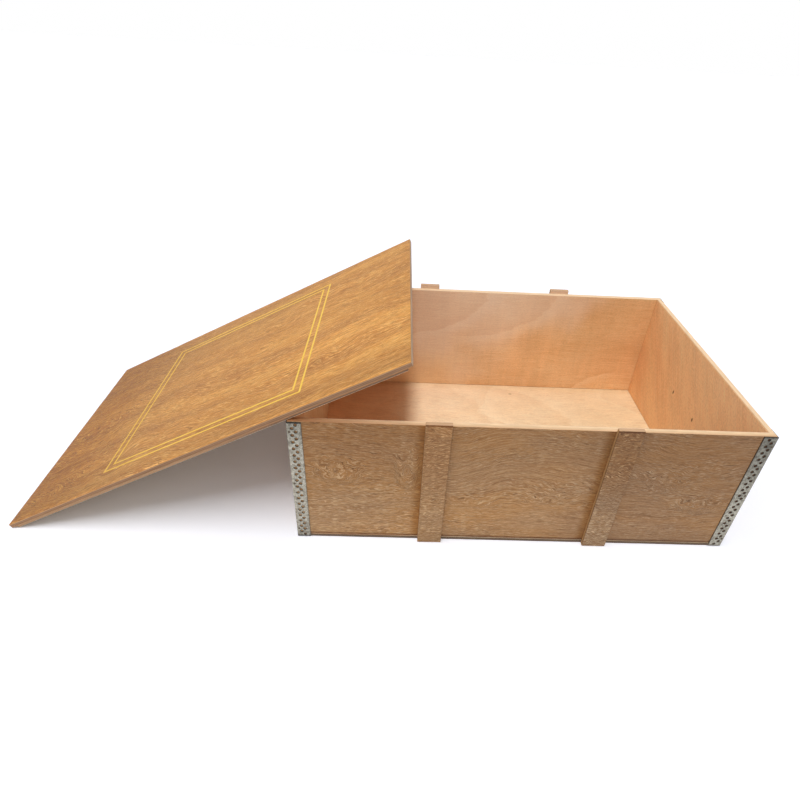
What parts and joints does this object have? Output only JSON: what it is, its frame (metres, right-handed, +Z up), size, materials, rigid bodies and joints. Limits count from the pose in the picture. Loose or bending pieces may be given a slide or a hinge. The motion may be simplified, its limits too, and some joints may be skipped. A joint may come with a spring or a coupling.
{
  "type": "plywood crate with a loose lid",
  "caption": "Low plywood crate with perforated steel corner strips and upright battens, its loose lid taken off and leaning on the left wall.",
  "frame": {"origin": "middle of the crate's underside, on the floor, the leaning lid left out of account", "axes": "+Z up; +X to the right along the front, away from the leaning lid; +Y from the front to the back"},
  "size_m": [1.0241, 0.432, 0.2944],
  "materials": {
    "stained_wood": "stained oak-look plywood, satin",
    "bare_wood": "bare birch-look plywood, fine matt",
    "lid_wood": "golden stained plywood, satin",
    "zinc_steel": "dull galvanised",
    "nail_steel": "dark, rough"
  },
  "bodies": {
    "box": {"base_panel": "bare_wood", "front_wall": "stained_wood", "back_wall": "stained_wood", "left_wall": "stained_wood", "right_wall": "stained_wood", "batten_front_left": "stained_wood", "batten_front_right": "stained_wood", "batten_back_left": "stained_wood", "batten_back_right": "stained_wood", "corner_strip_front_left": "zinc_steel", "corner_strip_front_right": "zinc_steel", "corner_strip_back_left": "zinc_steel", "corner_strip_back_right": "zinc_steel", "nail_front_left_face_1": "nail_steel", "nail_front_left_face_2": "nail_steel", "nail_front_left_face_3": "nail_steel", "nail_front_left_end_1": "nail_steel", "nail_front_left_end_2": "nail_steel", "nail_front_left_end_3": "nail_steel", "nail_front_right_face_1": "nail_steel", "nail_front_right_face_2": "nail_steel", "nail_front_right_face_3": "nail_steel", "nail_front_right_end_1": "nail_steel", "nail_front_right_end_2": "nail_steel", "nail_front_right_end_3": "nail_steel", "nail_back_left_face_1": "nail_steel", "nail_back_left_face_2": "nail_steel", "nail_back_left_face_3": "nail_steel", "nail_back_left_end_1": "nail_steel", "nail_back_left_end_2": "nail_steel", "nail_back_left_end_3": "nail_steel", "nail_back_right_face_1": "nail_steel", "nail_back_right_face_2": "nail_steel", "nail_back_right_face_3": "nail_steel", "nail_back_right_end_1": "nail_steel", "nail_back_right_end_2": "nail_steel", "nail_back_right_end_3": "nail_steel"},
    "lid": {"lid_panel": "lid_wood", "lid_liner": "bare_wood"}
  },
  "joints": [
    {"name": "lid_lift", "type": "slide", "parent": "box", "child": "lid", "axis": [0, 0, 1], "range_m": [0, 0.25]}
  ]
}
